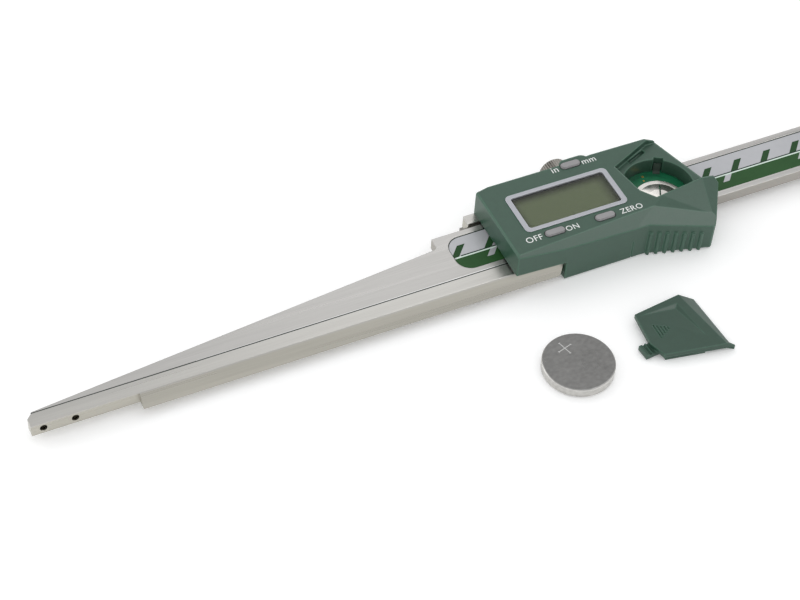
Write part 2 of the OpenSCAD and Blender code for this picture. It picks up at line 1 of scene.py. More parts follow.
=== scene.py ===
"""Digital taper gauge: finishes, printed marks, small trim, light and camera.

The frame is the part's own: origin on the resting plane under the slider's
back plate, X along the beam away from the wedge's tip, Y to the lock screw's
side, Z out of the display. Lengths are metres in the materials, the camera
and the studio, and millimetres in the marks and trim.
"""
import logging
import math
from dataclasses import dataclass
from enum import Enum

import bmesh
import bpy
import numpy as np
from mathutils import Matrix, Vector


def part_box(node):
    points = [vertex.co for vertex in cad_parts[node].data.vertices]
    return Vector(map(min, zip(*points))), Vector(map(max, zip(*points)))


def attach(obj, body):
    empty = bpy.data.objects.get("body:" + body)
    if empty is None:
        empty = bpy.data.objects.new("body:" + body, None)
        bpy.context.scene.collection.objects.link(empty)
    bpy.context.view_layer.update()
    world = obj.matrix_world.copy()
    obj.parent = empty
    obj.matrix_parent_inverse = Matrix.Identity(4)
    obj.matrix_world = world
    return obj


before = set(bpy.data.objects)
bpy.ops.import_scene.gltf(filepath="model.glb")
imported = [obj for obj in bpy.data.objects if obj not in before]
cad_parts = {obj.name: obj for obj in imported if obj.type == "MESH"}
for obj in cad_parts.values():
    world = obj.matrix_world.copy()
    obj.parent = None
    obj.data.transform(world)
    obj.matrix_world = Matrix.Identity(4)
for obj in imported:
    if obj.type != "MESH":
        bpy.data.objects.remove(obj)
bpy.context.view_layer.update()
MM = 0.001
log = logging.getLogger("gauge")


class Body(Enum):
    """The moving bodies that pieces ride on."""

    BEAM = "beam"
    SLIDER = "slider"
    CELL = "coin_cell"


@dataclass(frozen=True)
class Finish:
    """Looks of one surface.

    Attributes:
        name: the material's name.
        colour: linear base colour.
        metallic: share of metal.
        roughness: middle roughness.
        grain: noise cycles per metre along X, Y and Z.
        mottle: share by which the colour varies.
        bump: strength of the fine relief.
        edge: radius in metres over which edges look rounded.
        edge_highlight: how much lighter the painted highlight on edges is.
        rough_span: how far the roughness varies.
        specular: weight of the surface gloss.
    """

    name: str
    colour: tuple[float, float, float]
    metallic: float = 0.0
    roughness: float = 0.5
    grain: tuple[float, float, float] = (900.0, 900.0, 900.0)
    mottle: float = 0.06
    bump: float = 0.05
    edge: float = 0.0
    edge_highlight: float = 0.0
    rough_span: float = 0.06
    specular: float = 0.5


@dataclass(frozen=True)
class HeightShade:
    """Painted shade of one finish: one colour multiplier below a height and one above it, as light falls
    differently on the sides and the upper face.

    Attributes:
        low: height in metres up to which the lower shade is full.
        high: height in metres from which the upper shade is full.
        under: painted shade multiplier of the sides.
        over: painted shade multiplier of the upper face.
    """

    low: float
    high: float
    under: tuple[float, float, float]
    over: tuple[float, float, float] = (1.0, 1.0, 1.0)


def even(cycles: float) -> tuple[float, float, float]:
    """Grain that is equally fine along all three axes.

    Args:
        cycles: cycles per metre.

    Returns:
        The cycles along X, Y and Z.
    """
    return (cycles, cycles, cycles)


# values that noise mostly stays between
NOISE_SPAN = (0.3, 0.7)
# how many times coarser the broad noise is than the fine one
BROAD_RATIO = 9.0
# height of the fine relief in metres
BUMP_DEPTH = 0.00005
# how far a finish's edge_highlight brightens the colour of its painted edge highlight
HIGHLIGHT_GAIN = 2.5
# dot product of rounded and true normal at which an edge counts in full
FULL_EDGE_DOT = 0.955
# for each shaded edge of the display: axis, the edge, where the colour is full, and its share at the edge
PANEL_RAMPS = (("Y", 0.0066, 0.0030, 0.0), ("X", 0.0071, 0.0030, 0.25), ("X", -0.0221, -0.0200, 0.5))
STEEL_GRAIN = (60.0, 5200.0, 5200.0)
STEEL = Finish("ground_steel", (0.48, 0.47, 0.455), metallic=1.0, roughness=0.34, grain=STEEL_GRAIN,
               mottle=0.10, bump=0.03, edge=0.00018, edge_highlight=0.12, rough_span=0.10)
ARM_STEEL = Finish("arm_steel", (0.50, 0.49, 0.465), metallic=1.0, roughness=0.30, grain=STEEL_GRAIN,
                   mottle=0.08, bump=0.025, edge=0.00018, edge_highlight=0.12, rough_span=0.08)
PLATE_STEEL = Finish("plate_steel", (0.52, 0.515, 0.50), metallic=1.0, roughness=0.38, grain=STEEL_GRAIN,
                     mottle=0.12, bump=0.03, edge=0.0002, edge_highlight=0.15, rough_span=0.10)
SCREW_STEEL = Finish("screw_steel", (0.20, 0.20, 0.21), metallic=1.0, roughness=0.36, grain=even(3000.0),
                     mottle=0.2, bump=0.03, edge=0.0001, edge_highlight=0.3)
GIB_METAL = Finish("gib_metal", (0.22, 0.215, 0.20), metallic=1.0, roughness=0.36, grain=STEEL_GRAIN,
                   mottle=0.15, bump=0.03, edge=0.0001, edge_highlight=0.2)
KNOB_METAL = Finish("knob_nickel", (0.24, 0.23, 0.21), metallic=1.0, roughness=0.30, grain=even(2500.0),
                    mottle=0.12, bump=0.03, edge=0.0001, edge_highlight=0.3)
PLASTIC = Finish("housing_plastic", (0.031, 0.079, 0.052), roughness=0.38, grain=even(5200.0),
                 mottle=0.10, bump=0.09, edge=0.0006, edge_highlight=0.6, rough_span=0.02)
COVER_PLASTIC = Finish("cover_plastic", (0.022, 0.062, 0.040), roughness=0.36, grain=even(5200.0),
                       mottle=0.10, bump=0.09, edge=0.0005, edge_highlight=0.6, rough_span=0.02)
BEZEL = Finish("bezel_silver", (0.39, 0.40, 0.43), metallic=0.35, roughness=0.34, grain=even(2600.0),
               mottle=0.05, bump=0.02, edge=0.0002, edge_highlight=0.45)
BUTTON = Finish("button_grey", (0.265, 0.260, 0.265), roughness=0.38, grain=even(2600.0),
                mottle=0.07, bump=0.04, edge=0.0003, edge_highlight=0.25)
BOARD = Finish("solder_mask", (0.008, 0.145, 0.062), roughness=0.30, grain=even(1500.0),
               mottle=0.25, bump=0.05)
CHIP = Finish("chip_epoxy", (0.01, 0.01, 0.01), roughness=0.25, grain=even(900.0), mottle=0.2, bump=0.03)
RUBBER = Finish("soft_rubber", (0.05, 0.05, 0.05), roughness=0.7, grain=even(1500.0), mottle=0.2, bump=0.08)
CONTACT = Finish("contact_nickel", (0.72, 0.70, 0.66), metallic=1.0, roughness=0.16, grain=even(700.0),
                 mottle=0.08, bump=0.02, edge=0.0001, edge_highlight=0.1)
# painted shade and painted reflection: the nickel positive contact is coloured dark green-grey for the shade
# and the green plastic's reflection in its notch
SHADED_CONTACT = Finish("shaded_contact", (0.10, 0.13, 0.11), metallic=0.5, roughness=0.45, grain=even(900.0),
                      mottle=0.15, bump=0.04)
CELL = Finish("cell_nickel", (0.58, 0.575, 0.56), metallic=1.0, roughness=0.36,
              grain=(700.0, 1000.0, 1000.0), mottle=0.22, bump=0.05, edge=0.00025, edge_highlight=0.6,
              rough_span=0.10)
CELL_CAP = Finish("cell_cap_nickel", (0.40, 0.40, 0.40), metallic=1.0, roughness=0.30, grain=even(900.0),
                  mottle=0.15, bump=0.05)
SILVER_FILM = Finish("silver_film", (0.45, 0.455, 0.475), metallic=0.25, roughness=0.34, grain=even(500.0),
                     mottle=0.04, bump=0.01, specular=0.3)
GREEN_FILM = Finish("green_film", (0.022, 0.078, 0.022), roughness=0.40, grain=even(500.0),
                    mottle=0.10, bump=0.01, specular=0.15)
WHITE_INK = Finish("white_ink", (0.80, 0.81, 0.80), roughness=0.45, grain=even(2600.0),
                   mottle=0.04, bump=0.03)
LINE_INK = Finish("pale_line", (0.62, 0.74, 0.66), roughness=0.3, grain=even(1500.0),
                  mottle=0.05, bump=0.02)
TICK_GREEN = Finish("tick_green", (0.016, 0.060, 0.018), roughness=0.40, grain=even(500.0),
                    mottle=0.10, bump=0.01, specular=0.15)
# dark print on the scale, also used as a painted shadow along the strip's rim
DARK_PRINT_AND_SHADOW = Finish("dark_print_and_shadow", (0.010, 0.030, 0.018), roughness=0.45, grain=even(1500.0),
                   mottle=0.10, bump=0.02, specular=0.2)
# painted shadow: dark colour laid over gaps that are in shade
PAINTED_GAP_SHADOW = Finish("painted_gap_shadow", (0.012, 0.022, 0.017), roughness=0.6, grain=even(1500.0),
                     mottle=0.15, bump=0.04)
GOLD = Finish("gold_pad", (0.72, 0.45, 0.12), metallic=1.0, roughness=0.3, grain=even(900.0),
              mottle=0.1, bump=0.03)
TRACE = Finish("board_trace", (0.005, 0.085, 0.040), roughness=0.32, grain=even(1500.0),
               mottle=0.15, bump=0.03)
# painted highlight: bright metal for the light caught on the beam's edge
PAINTED_EDGE_HIGHLIGHT = Finish("painted_edge_highlight", (0.80, 0.80, 0.79), metallic=1.0, roughness=0.30, grain=STEEL_GRAIN,
                    mottle=0.06, bump=0.02)
SHINE = Finish("engraved_shine", (0.50, 0.50, 0.49), metallic=1.0, roughness=0.28, grain=even(1800.0),
               mottle=0.12, bump=0.04)

NODE_FINISH = {
    "end_stop": PLATE_STEEL, "end_stop_screws": SCREW_STEEL, "back_plate": PLATE_STEEL,
    "back_plate_screws": SCREW_STEEL, "gib_strip": GIB_METAL, "gib_screws": SCREW_STEEL,
    "lock_screw": KNOB_METAL, "housing": PLASTIC, "housing_screws": SCREW_STEEL, "display_bezel": BEZEL,
    "zebra_strips": RUBBER, "circuit_board": BOARD, "chip_cover": CHIP, "key_domes": RUBBER,
    "unit_button": BUTTON, "power_button": BUTTON, "zero_button": BUTTON, "negative_contact": CONTACT,
    "positive_contact": SHADED_CONTACT, "cell_gasket": RUBBER, "cell_cap": CELL_CAP,
    "battery_cover": COVER_PLASTIC, "scale_strip": SILVER_FILM,
}
# painted shade by height: steel sides darker and warmer than the upper faces, the cell's side lighter and its
# top darker, as light falls on them
NODE_HEIGHT_SHADE = {
    "cell_can": (CELL, HeightShade(low=0.0030, high=0.00319, under=(0.94, 0.93, 0.91), over=(0.34, 0.34, 0.34))),
    "beam": (STEEL, HeightShade(low=0.0059, high=0.00615, under=(0.82, 0.80, 0.76))),
    "slider_frame": (ARM_STEEL, HeightShade(low=0.0057, high=0.0061, under=(0.97, 0.955, 0.89))),
}


class NodeGraph:
    """Adds and joins the nodes of one material or world."""

    def __init__(self, owner: bpy.types.ID) -> None:
        """Turns the owner's nodes on.

        Args:
            owner: the material or world.
        """
        owner.use_nodes = True
        self.owner = owner
        self.tree = owner.node_tree
        self.shader = self.tree.nodes.get("Principled BSDF")

    def add(self, kind: str, **settings: object) -> bpy.types.Node:
        """Adds a node and sets its properties.

        Args:
            kind: node type without the leading ShaderNode.
            settings: property names and values.

        Returns:
            The new node.
        """
        node = self.tree.nodes.new("ShaderNode" + kind)
        for key, value in settings.items():
            setattr(node, key, value)
        return node

    def feed(self, value: object, target: bpy.types.NodeSocket) -> None:
        """Links an output to an input, or sets the input to a value.

        Args:
            value: output socket, number or tuple.
            target: input socket.
        """
        if isinstance(value, bpy.types.NodeSocket):
            self.tree.links.new(value, target)
        else:
            target.default_value = value

    def math(self, operation: str, first: object, second: object) -> bpy.types.NodeSocket:
        """Joins two numbers by an operation.

        Args:
            operation: the Math node's operation.
            first: socket or number.
            second: socket or number.

        Returns:
            The result.
        """
        node = self.add("Math", operation=operation)
        self.feed(first, node.inputs[0])
        self.feed(second, node.inputs[1])
        return node.outputs[0]

    def mix(self, first: object, second: object, share: object, blend: str = "MIX") -> bpy.types.NodeSocket:
        """Mixes two colours.

        Args:
            first: colour socket or four numbers.
            second: colour socket or four numbers.
            share: how much the second one counts.
            blend: the blend type.

        Returns:
            The mixed colour.
        """
        node = self.add("Mix", data_type="RGBA", blend_type=blend)
        self.feed(first, node.inputs["A"])
        self.feed(second, node.inputs["B"])
        self.feed(share, node.inputs["Factor"])
        return node.outputs["Result"]

    def ramp(self, value: bpy.types.NodeSocket, source: tuple, target: tuple = (0.0, 1.0),
             curve: str = "LINEAR") -> bpy.types.NodeSocket:
        """Maps a value from one span to another and holds it there.

        Args:
            value: the value.
            source: its span, two numbers.
            target: the result's span, two numbers.
            curve: the interpolation.

        Returns:
            The mapped value.
        """
        node = self.add("MapRange", interpolation_type=curve)
        for key, number in zip(("From Min", "From Max", "To Min", "To Max"), (*source, *target)):
            node.inputs[key].default_value = number
        self.feed(value, node.inputs["Value"])
        return node.outputs["Result"]

    def place(self) -> bpy.types.NodeSocket:
        """Object coordinates, which are the frame's own, in metres.

        Returns:
            The coordinates.
        """
        return self.add("TexCoord").outputs["Object"]

    def axes(self) -> bpy.types.Node:
        """Object coordinates split in X, Y and Z.

        Returns:
            The node whose outputs they are.
        """
        split = self.add("SeparateXYZ")
        self.feed(self.place(), split.inputs["Vector"])
        return split

    def noise(self, grain: tuple[float, float, float], detail: float = 3.0) -> bpy.types.NodeSocket:
        """Noise on Object coordinates stretched by its own cycles per metre.

        Args:
            grain: cycles per metre along X, Y and Z.
            detail: number of octaves.

        Returns:
            The noise value, 0 to 1 about 0.5.
        """
        mapping = self.add("Mapping")
        mapping.inputs["Scale"].default_value = grain
        self.feed(self.place(), mapping.inputs["Vector"])
        noise = self.add("TexNoise")
        noise.inputs["Scale"].default_value = 1.0
        noise.inputs["Detail"].default_value = detail
        self.feed(mapping.outputs["Vector"], noise.inputs["Vector"])
        return noise.outputs["Fac"]

    def spread(self, value: bpy.types.NodeSocket, low: float, high: float) -> bpy.types.NodeSocket:
        """Maps a noise value's usual span to low to high.

        Args:
            value: noise value.
            low: result at the usual span's start.
            high: result at its end.

        Returns:
            The mapped value.
        """
        return self.ramp(value, NOISE_SPAN, (low, high))


def shade(colour: tuple[float, float, float], factor: float) -> tuple[float, float, float, float]:
    """Lightens or darkens a colour.

    Args:
        colour: linear colour.
        factor: multiplier.

    Returns:
        The colour times the factor, at most 1, with alpha.
    """
    return tuple(min(1.0, c * factor) for c in colour) + (1.0,)


def edge_mask(graph: NodeGraph, radius: float) -> tuple[bpy.types.NodeSocket, bpy.types.NodeSocket]:
    """Rounded normal and a mask that is 1 at edges.

    The mask rises from 0 to 1 as the dot product of the rounded and the true
    normal falls from 1 to FULL_EDGE_DOT.

    Args:
        graph: the material's nodes.
        radius: rounding radius in metres.

    Returns:
        The rounded normal and the mask.
    """
    bevel = graph.add("Bevel", samples=6)
    bevel.inputs["Radius"].default_value = radius
    dot = graph.add("VectorMath", operation="DOT_PRODUCT")
    graph.feed(bevel.outputs["Normal"], dot.inputs[0])
    graph.feed(graph.add("NewGeometry").outputs["Normal"], dot.inputs[1])
    return bevel.outputs["Normal"], graph.ramp(dot.outputs["Value"], (1.0, FULL_EDGE_DOT))


def make_material(finish: Finish, height_shade: HeightShade | None = None) -> bpy.types.Material:
    """Builds the procedural material of a finish.

    The colour varies with the mean of a fine and a broad noise, has a painted highlight at
    edges, and is multiplied by a painted shade that changes with the height.

    Args:
        finish: the looks.
        height_shade: painted shade below and above a height, if any.

    Returns:
        The material.
    """
    graph = NodeGraph(bpy.data.materials.new(finish.name))
    inputs = graph.shader.inputs
    fine = graph.noise(finish.grain)
    broad = graph.noise(tuple(cycles / BROAD_RATIO for cycles in finish.grain), 2.0)
    mean = graph.math("MULTIPLY", graph.math("ADD", fine, broad), 0.5)
    colour = graph.mix(shade(finish.colour, 1.0 - finish.mottle), shade(finish.colour, 1.0 + finish.mottle),
                       graph.spread(mean, 0.0, 1.0))
    bump = graph.add("Bump")
    bump.inputs["Strength"].default_value = finish.bump
    bump.inputs["Distance"].default_value = BUMP_DEPTH
    graph.feed(fine, bump.inputs["Height"])
    # rounded normal at edges, and a painted highlight that lightens the colour there
    if finish.edge > 0:
        normal, mask = edge_mask(graph, finish.edge)
        highlight = shade(finish.colour, 1.0 + HIGHLIGHT_GAIN * finish.edge_highlight)
        colour = graph.mix(colour, highlight, graph.math("MULTIPLY", mask, finish.edge_highlight))
        graph.feed(normal, bump.inputs["Normal"])
    # painted shade: the sides below a height and the upper face above it get different colour multipliers
    if height_shade is not None:
        height = graph.ramp(graph.axes().outputs["Z"], (height_shade.low, height_shade.high))
        painted_shade = graph.mix((*height_shade.under, 1.0), (*height_shade.over, 1.0), height)
        colour = graph.mix(colour, painted_shade, 1.0, "MULTIPLY")
    low, high = finish.roughness - finish.rough_span, finish.roughness + finish.rough_span
    graph.feed(colour, inputs["Base Color"])
    graph.feed(graph.spread(broad, low, high), inputs["Roughness"])
    graph.feed(bump.outputs["Normal"], inputs["Normal"])
    inputs["Metallic"].default_value = finish.metallic
    inputs["Specular IOR Level"].default_value = finish.specular
    return graph.owner


def panel_shade(graph: NodeGraph, dark: tuple, bright: tuple) -> bpy.types.NodeSocket:
    """Colour that darkens towards the far, right and left edges of the display.

    The share of the bright colour is the product of three ramps, one for
    each of these edges.

    Args:
        graph: the material's nodes.
        dark: linear colour at the edges.
        bright: linear colour in the middle.

    Returns:
        The colour.
    """
    split = graph.axes()
    share = None
    for axis, edge, full, least in PANEL_RAMPS:
        ramp = graph.ramp(split.outputs[axis], (edge, full), (least, 1.0), "SMOOTHSTEP")
        share = ramp if share is None else graph.math("MULTIPLY", share, ramp)
    return graph.mix((*dark, 1.0), (*bright, 1.0), share)


def make_panel_material(name: str, cycles: float, rough: tuple, dark: tuple, bright: tuple,
                        alpha: float = 1.0) -> bpy.types.Material:
    """Smooth olive material of the panel, or of the smoky window over it.

    Args:
        name: the material's name.
        cycles: noise cycles per metre.
        rough: lowest and highest roughness.
        dark: linear colour at the display's edges.
        bright: linear colour in its middle.
        alpha: how opaque it is.

    Returns:
        The material.
    """
    graph = NodeGraph(bpy.data.materials.new(name))
    inputs = graph.shader.inputs
    inputs["Alpha"].default_value = alpha
    graph.feed(graph.spread(graph.noise(even(cycles)), *rough), inputs["Roughness"])
    graph.feed(panel_shade(graph, dark, bright), inputs["Base Color"])
    return graph.owner


class Paints:
    """Makes each finish's material once."""

    def __init__(self) -> None:
        """Starts with no material made."""
        self.made: dict[str, bpy.types.Material] = {}

    def get(self, finish: Finish) -> bpy.types.Material:
        """Material of a finish.

        Args:
            finish: the looks.

        Returns:
            The material, made on first use.
        """
        if finish.name not in self.made:
            self.made[finish.name] = make_material(finish)
        return self.made[finish.name]

    def dress_frame(self) -> None:
        """Gives every carried-over node its own finish."""
        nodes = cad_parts
        for name, finish in NODE_FINISH.items():
            self.put(nodes[name], self.get(finish))
        for name, (finish, height_shade) in NODE_HEIGHT_SHADE.items():
            self.put(nodes[name], make_material(finish, height_shade))
        self.put(nodes["lcd_panel"], make_panel_material(
            "lcd_off", cycles=700.0, rough=(0.12, 0.22),
            dark=(0.034, 0.038, 0.023), bright=(0.145, 0.180, 0.095)))
        self.put(nodes["display_window"], make_panel_material(
            "clear_window", cycles=600.0, rough=(0.03, 0.07),
            dark=(0.040, 0.042, 0.034), bright=(0.160, 0.200, 0.108), alpha=0.45))

    @staticmethod
    def put(obj: bpy.types.Object, material: bpy.types.Material) -> None:
        """Replaces an object's materials by one.

        Args:
            obj: the object.
            material: its only material.
        """
        obj.data.materials.clear()
        obj.data.materials.append(material)


# pairs of neighbouring rails of a strip: inner low 0, outer low 1, inner high 2, outer high 3
STRIP_SIDES = ((0, 1), (1, 3), (3, 2), (2, 0))
# share of a typeface's size that its capitals fill, and the gap between letters in the typeface's own gaps
CAP_SHARE, LETTER_SPACING = 0.7, 1.06
# thickness of print in millimetres
PRINT = 0.012


@dataclass
class Trim:
    """Adds thin pieces that ride on one body.

    Attributes:
        paints: the material store.
        body: the body that the pieces ride on.
        slot: name of a record slot; it is not used.
    """

    paints: Paints
    body: Body
    slot: str

    def piece(self, name: str, points: list, faces: list, finish: Finish) -> None:
        """Makes a mesh piece.

        Args:
            name: the piece's name.
            points: points (x, y, z) in metres.
            faces: lists of point indices.
            finish: its looks.
        """
        mesh = bpy.data.meshes.new(name)
        mesh.from_pydata(points, [], faces)
        mesh.update()
        self.keep(name, mesh, finish)

    def keep(self, name: str, mesh: bpy.types.Mesh, finish: Finish) -> None:
        """Links a mesh as a piece on the body.

        Args:
            name: the piece's name.
            mesh: its mesh, already in place.
            finish: its looks.
        """
        obj = bpy.data.objects.new(name, mesh)
        bpy.context.scene.collection.objects.link(obj)
        mesh.materials.clear()
        mesh.materials.append(self.paints.get(finish))
        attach(obj, self.body.value)

    def plates(self, name: str, outlines: list, low: float, high: float, finish: Finish) -> None:
        """Thin flat plates between two heights, joined in one piece.

        Args:
            name: the piece's name.
            outlines: each a list of (x, y) in millimetres, anticlockwise.
            low: lower height in millimetres.
            high: upper height in millimetres.
            finish: its looks.
        """
        points: list = []
        faces: list = []
        for outline in outlines:
            start, count = len(points), len(outline)
            for z in (low, high):
                points += [(x * MM, y * MM, z * MM) for x, y in outline]
            faces.append(list(range(start + count - 1, start - 1, -1)))
            faces.append(list(range(start + count, start + 2 * count)))
            for i in range(count):
                j = (i + 1) % count
                faces.append([start + i, start + j, start + count + j, start + count + i])
        self.piece(name, points, faces, finish)

    def strip(self, name: str, inner: list, outer: list, span: tuple, finish: Finish,
              closed: bool = False) -> None:
        """Thin flat strip between two paths that run anticlockwise.

        Args:
            name: the piece's name.
            inner: path of (x, y) in millimetres on the left side.
            outer: path of as many points on the right side.
            span: lower and upper height in millimetres.
            finish: its looks.
            closed: whether the last points join the first ones.
        """
        count = len(inner)
        points = [(x * MM, y * MM, z * MM) for z in span for path in (inner, outer) for x, y in path]
        faces: list = []
        for i in range(count if closed else count - 1):
            j = (i + 1) % count
            for a, b in STRIP_SIDES:
                faces.append([a * count + i, a * count + j, b * count + j, b * count + i])
        if not closed:
            faces.append([0, count, 3 * count, 2 * count])
            faces.append([2 * count - 1, count - 1, 3 * count - 1, 4 * count - 1])
        self.piece(name, points, faces, finish)

    def word(self, name: str, text: str, at: tuple, height: float, finish: Finish) -> None:
        """Printed word whose letters rise a hair above the face.

        Args:
            name: the piece's name.
            text: the word.
            at: left end of the baseline, (x, y, z) in millimetres.
            height: capital height in millimetres.
            finish: its looks.
        """
        curve = bpy.data.curves.new(name + "_curve", "FONT")
        curve.body = text
        curve.size = height / CAP_SHARE * MM
        curve.extrude = PRINT * MM
        curve.space_character = LETTER_SPACING
        curve.resolution_u = 4
        holder = bpy.data.objects.new(name + "_holder", curve)
        bpy.context.scene.collection.objects.link(holder)
        bpy.context.view_layer.update()
        shape = holder.evaluated_get(bpy.context.evaluated_depsgraph_get())
        mesh = bpy.data.meshes.new_from_object(shape)
        bpy.data.objects.remove(holder)
        mesh.transform(Matrix.Translation(Vector(at) * MM))
        mesh.name = name
        self.keep(name, mesh, finish)


def rect(left: float, low: float, right: float, high: float, lean: float = 0.0) -> list:
    """Four corners of a box that leans along X as Y grows.

    Args:
        left: lower left x.
        low: lower y.
        right: lower right x.
        high: upper y.
        lean: x gained per y.

    Returns:
        Corners, anticlockwise.
    """
    shift = lean * (high - low)
    return [(left, low), (right, low), (right + shift, high), (left + shift, high)]


def turned(outline: list, centre: tuple, degrees: float) -> list:
    """Turns an outline about the origin and moves it to a centre.

    Args:
        outline: points.
        centre: where the origin goes.
        degrees: turn, anticlockwise.

    Returns:
        The moved points.
    """
    c, s = math.cos(math.radians(degrees)), math.sin(math.radians(degrees))
    return [(centre[0] + c * x - s * y, centre[1] + s * x + c * y) for x, y in outline]


def node_span(name: str) -> tuple[Vector, Vector]:
    """A node's lowest and highest corners in millimetres.

    Args:
        name: the node.

    Returns:
        The two corners.
    """
    low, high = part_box(name)
    return low / MM, high / MM


def quarter(centre: tuple, across: float, along: float) -> list:
    """Quarter arc about a centre, from straight above or below it to its left.

    A point's x is the centre's less across times the sine, and its y is the
    centre's plus along times the cosine, for angles from 0 to 90 degrees.

    Args:
        centre: (x, y) in millimetres.
        across: reach to the left.
        along: reach up, or down if it is negative.

    Returns:
        Ten points.
    """
    return [(centre[0] - across * math.sin(a), centre[1] + along * math.cos(a))
            for a in np.linspace(0.0, math.pi / 2, 10)]


def leaning_marks(first: float, pitch: float, end: float, low: float, high: float, width: float) -> list:
    """Outlines of a row of ticks that all lean the same way.

    Args:
        first: lower left x of the first tick, in millimetres.
        pitch: distance from tick to tick.
        end: x before which the row stops.
        low: the ticks' lower y.
        high: their upper y.
        width: their width along X.

    Returns:
        The outlines.
    """
    lean, margin = 0.9, 5.0
    marks = []
    x = first
    while x + margin < end:
        marks.append(rect(x, low, x + width, high, lean))
        x += pitch
    return marks


def print_scale(paints: Paints) -> None:
    """Green band, lines and leaning ticks printed on the silver strip, and a painted shadow along its rim.

    Each print has a height of its own, so no two faces share a plane.

    Args:
        paints: the material store.
    """
    trim = Trim(paints, Body.BEAM, "scale_film")
    low, high = node_span("scale_strip")
    left, right, top = low.x, high.x, high.z
    radius = 4.4
    middle, pale_width, dark_width, tick_gap = -1.3, 0.45, 0.4, 0.1
    pale_start, dark_start = left + 0.6, left + 2.2
    above = middle + pale_width
    corner = quarter((left + radius, low.y + radius), radius, -radius)
    band = [(right, low.y), (right, middle), (left, middle)] + corner[::-1]
    pale = rect(pale_start, middle, right, above)
    dark = rect(dark_start, above, right, above + dark_width)
    centimetres = leaning_marks(first=-43.1, pitch=10.0, end=right, low=above + tick_gap, high=3.2, width=2.4)
    inches = leaning_marks(first=-33.4, pitch=25.4, end=right, low=-3.6, high=middle, width=2.1)
    for name, outlines, rise, finish in (("scale_green_band", [band], PRINT, GREEN_FILM),
                                         ("scale_pale_line", [pale], 0.016, LINE_INK),
                                         ("scale_centimetre_ticks", centimetres, 0.014, TICK_GREEN),
                                         ("scale_dark_line", [dark], 0.015, DARK_PRINT_AND_SHADOW),
                                         ("scale_inch_ticks", inches, 0.02, SILVER_FILM)):
        trim.plates(name, outlines, top, top + rise, finish)
    # painted shadow: a dark line along the strip's far edge and rounded end, where the pocket's edge is in
    # shade
    fine, far = 0.1, 0.24
    centre = (left + radius, high.y - radius)
    rim = [(right, high.y)] + quarter(centre, radius, radius) + [(left, middle)]
    inside = [(right, high.y - far)] + quarter(centre, radius - fine, radius - far) + [(left + fine, middle)]
    trim.strip("scale_rim_shadow", inside, rim, (top, top + 0.017), DARK_PRINT_AND_SHADOW)


def mark_gap(paints: Paints) -> None:
    """Painted shadow over the gap of the arm, and a painted highlight on the beam's edge by it.

    Args:
        paints: the material store.
    """
    top = node_span("beam")[1].z
    tip_margin, under_housing = 1.4, 3.0
    left = node_span("slider_frame")[0].x + tip_margin
    right = node_span("housing")[0].x + under_housing
    edge = -8.0
    shadow_band = [(left, edge - 0.22), (left + 30.0, edge - 0.26), (right, edge - 0.28),
           (right, edge + 0.08), (left + 40.0, edge + 0.07), (left, edge + 0.05)]
    slider = Trim(paints, Body.SLIDER, "steel_slider")
    # painted shadow: a dark strip over the gap between the arm and the beam
    slider.plates("gap_shadow_line", [shadow_band], top - 0.2, top + 0.006, PAINTED_GAP_SHADOW)
    near = [(left + 45.0, edge + 0.08), (right, edge + 0.08),
            (right, edge + 0.30), (left + 45.0, edge + 0.16)]
    beam = Trim(paints, Body.BEAM, "steel_beam")
    # painted highlight: a bright strip along the beam's edge by the gap
    beam.plates("beam_painted_edge_highlight", [near], top - 0.1, top + 0.004, PAINTED_EDGE_HIGHLIGHT)


# each word, the left end of its baseline and its capitals' height, in millimetres
WORDS = (("in", (-6.2, 11.2), 2.2), ("mm", (3.5, 11.2), 2.05), ("OFF", (-25.2, -10.3), 2.0),
         ("ON", (-12.9, -10.3), 1.8), ("ZERO", (4.4, -10.2), 1.85))


def print_words(paints: Paints) -> None:
    """Words beside the buttons on the housing's face.

    Args:
        paints: the material store.
    """
    trim = Trim(paints, Body.SLIDER, "bezel_paint")
    face = node_span("housing")[1].z + 0.004
    for word, at, height in WORDS:
        trim.word(f"word_{word.lower()}", word, (*at, face), height, WHITE_INK)


def slot_path(at: tuple, length: float, width: float, grow: float) -> list:
    """Outline of a slot shape that is grown on all sides.

    The half width is the width's half plus the growth, and the two end arcs
    are centred half of length less width from the middle.

    Args:
        at: middle (x, y) in millimetres.
        length: the slot's length.
        width: the slot's width.
        grow: growth on all sides.

    Returns:
        Points, anticlockwise.
    """
    reach, radius = (length - width) / 2, width / 2 + grow
    return [(at[0] + side * (reach + radius * math.cos(turn)), at[1] + side * radius * math.sin(turn))
            for side in (1, -1) for turn in np.linspace(-math.pi / 2, math.pi / 2, 12)]


def line_buttons(paints: Paints) -> None:
    """Painted shadow: a dark hairline on the face around each button's opening, where the gap is in shade.

    Args:
        paints: the material store.
    """
    trim = Trim(paints, Body.SLIDER, "housing_plastic")
    face = node_span("housing")[1].z
    length, width = 6.0, 2.2
    gap, line = 0.12, 0.2
    for name, at in (("unit", (0.1, 12.5)), ("power", (-16.1, -9.2)), ("zero", (-0.4, -9.2))):
        inner, outer = (slot_path(at, length, width, grow) for grow in (gap, gap + line))
        # painted shadow of the gap round the button
        trim.strip(f"{name}_button_gap_shadow", inner, outer, (face - 0.01, face + PRINT), PAINTED_GAP_SHADOW,
                   closed=True)


def arc(centre: tuple, radius: float, start: float, stop: float) -> list:
    """Nine points of an arc.

    Args:
        centre: (x, y) in millimetres.
        radius: its radius.
        start: first angle in radians.
        stop: last angle.

    Returns:
        The points.
    """
    return [(centre[0] + radius * math.cos(a), centre[1] + radius * math.sin(a))
            for a in np.linspace(start, stop, 9)]


